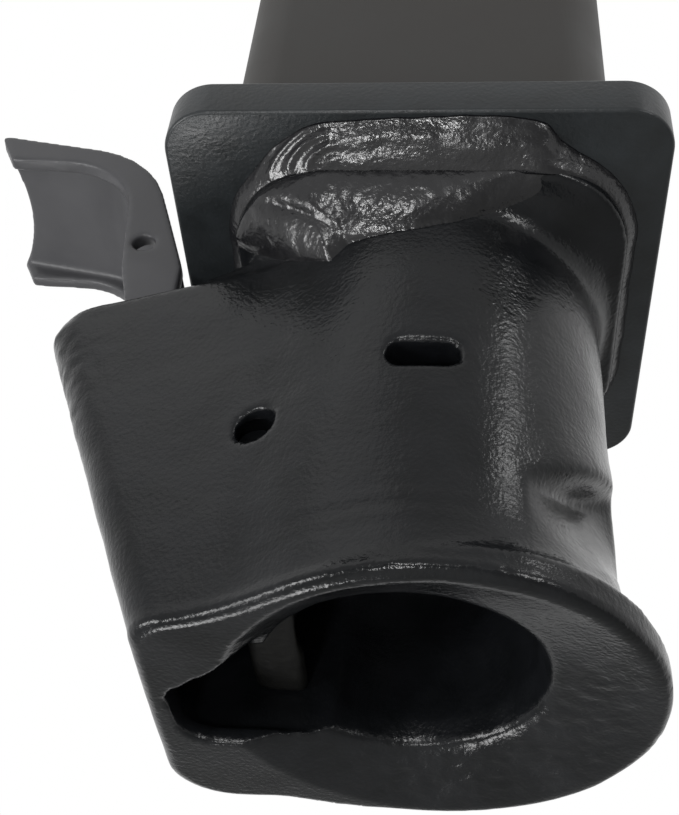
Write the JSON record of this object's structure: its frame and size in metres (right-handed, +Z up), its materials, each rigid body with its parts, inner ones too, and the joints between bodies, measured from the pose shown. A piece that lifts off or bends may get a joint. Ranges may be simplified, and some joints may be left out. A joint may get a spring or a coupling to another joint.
{
  "type": "gooseneck coupler",
  "caption": "Cast ball coupler head with a latching jaw and bent release lever, welded under a stop plate and a square neck tube.",
  "frame": {"origin": "centre of the ball seat, the flat roof of the socket, on the neck tube's axis", "axes": "+Z up along the neck tube, -Y out of the face with the small slot, -X towards the latch housing and the lever"},
  "size_m": [0.1994, 0.127, 0.4418],
  "materials": {
    "casting_enamel": "gloss black enamel over rough sand-cast steel",
    "plate_enamel": "satin black enamel",
    "tube_paint": "matt black, thinly painted",
    "weld_enamel": "gloss black enamel over weld ripples",
    "lever_steel": "satin dark grey",
    "latch_steel": "dull dark forged steel",
    "pin_steel": "zinc plated",
    "spring_steel": "oiled spring steel"
  },
  "bodies": {
    "head": {"head_casting": "casting_enamel", "stop_plate": "plate_enamel", "inner_tube": "tube_paint", "head_weld": "weld_enamel", "fill_weld": "weld_enamel", "tube_weld": "weld_enamel", "jaw_pin": "pin_steel", "jaw_pin_ring": "spring_steel", "lever_pin": "pin_steel", "lever_pin_ring": "spring_steel", "lever_spring_front": "spring_steel", "lever_spring_back": "spring_steel"},
    "lever": {"release_lever": "lever_steel", "lock_dog": "latch_steel", "dog_tie_pin": "pin_steel"},
    "jaw": {"latch_jaw": "latch_steel"}
  },
  "joints": [
    {"name": "lever_swing", "type": "hinge", "parent": "head", "child": "lever", "pos_m": [-0.071, 0.015, 0.0365], "axis": [0, -1, 0], "range_deg": [0, 18], "stiffness_Nm_per_rad": 5, "springref_deg": -20.05, "deforming": ["lever_spring_front", "lever_spring_back"]},
    {"name": "jaw_swing", "type": "hinge", "parent": "head", "child": "jaw", "pos_m": [-0.034, 0.0076, -0.0095], "axis": [0, 1, 0], "range_deg": [0, 16]}
  ],
  "couplings": [
    {"joint": "jaw_swing", "follows": "lever_swing", "ratio": 0.888}
  ]
}
